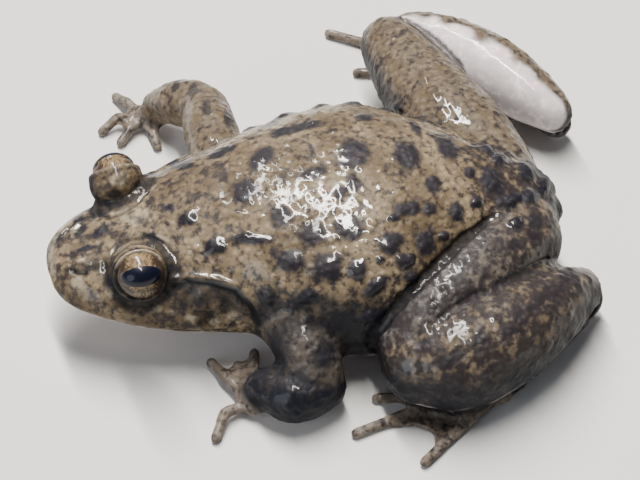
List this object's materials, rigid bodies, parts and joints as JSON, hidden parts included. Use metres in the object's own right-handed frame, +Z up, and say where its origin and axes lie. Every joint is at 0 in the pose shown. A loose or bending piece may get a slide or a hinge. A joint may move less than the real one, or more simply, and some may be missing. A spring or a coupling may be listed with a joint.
{
  "type": "nepal wart frog",
  "caption": "Life-size nepal wart frog model squatting on its belly, its left hind leg folded and its right leg spread, with bulging eyes, spotted warty skin, slender fingers and webbed hind feet.",
  "frame": {"origin": "middle of the flat under the belly, on the plane that the frog rests on", "axes": "-Y is forward, from the vent to the snout; +X is the frog's left; +Z is up, out of the back"},
  "size_m": [0.054, 0.0483, 0.0146],
  "materials": {
    "back_skin": "wet granular skin, olive brown with dark bluish grey spots",
    "limb_skin": "damp skin, yellowish brown with dark mottled cross bars, paler below",
    "eye": "glossy eye with a golden brown iris and a dark level pupil"
  },
  "bodies": {
    "root": {"torso": "back_skin", "head": "back_skin", "eye_left": "eye", "eye_right": "eye", "upper_arm_left": "limb_skin", "upper_arm_right": "limb_skin", "forearm_left": "limb_skin", "forearm_right": "limb_skin", "hand_left": "limb_skin", "hand_right": "limb_skin", "thigh_left": "limb_skin", "thigh_right": "limb_skin", "shank_left": "limb_skin", "shank_right": "limb_skin", "tarsus_left": "limb_skin", "tarsus_right": "limb_skin", "foot_left": "limb_skin", "foot_right": "limb_skin"}
  },
  "joints": []
}
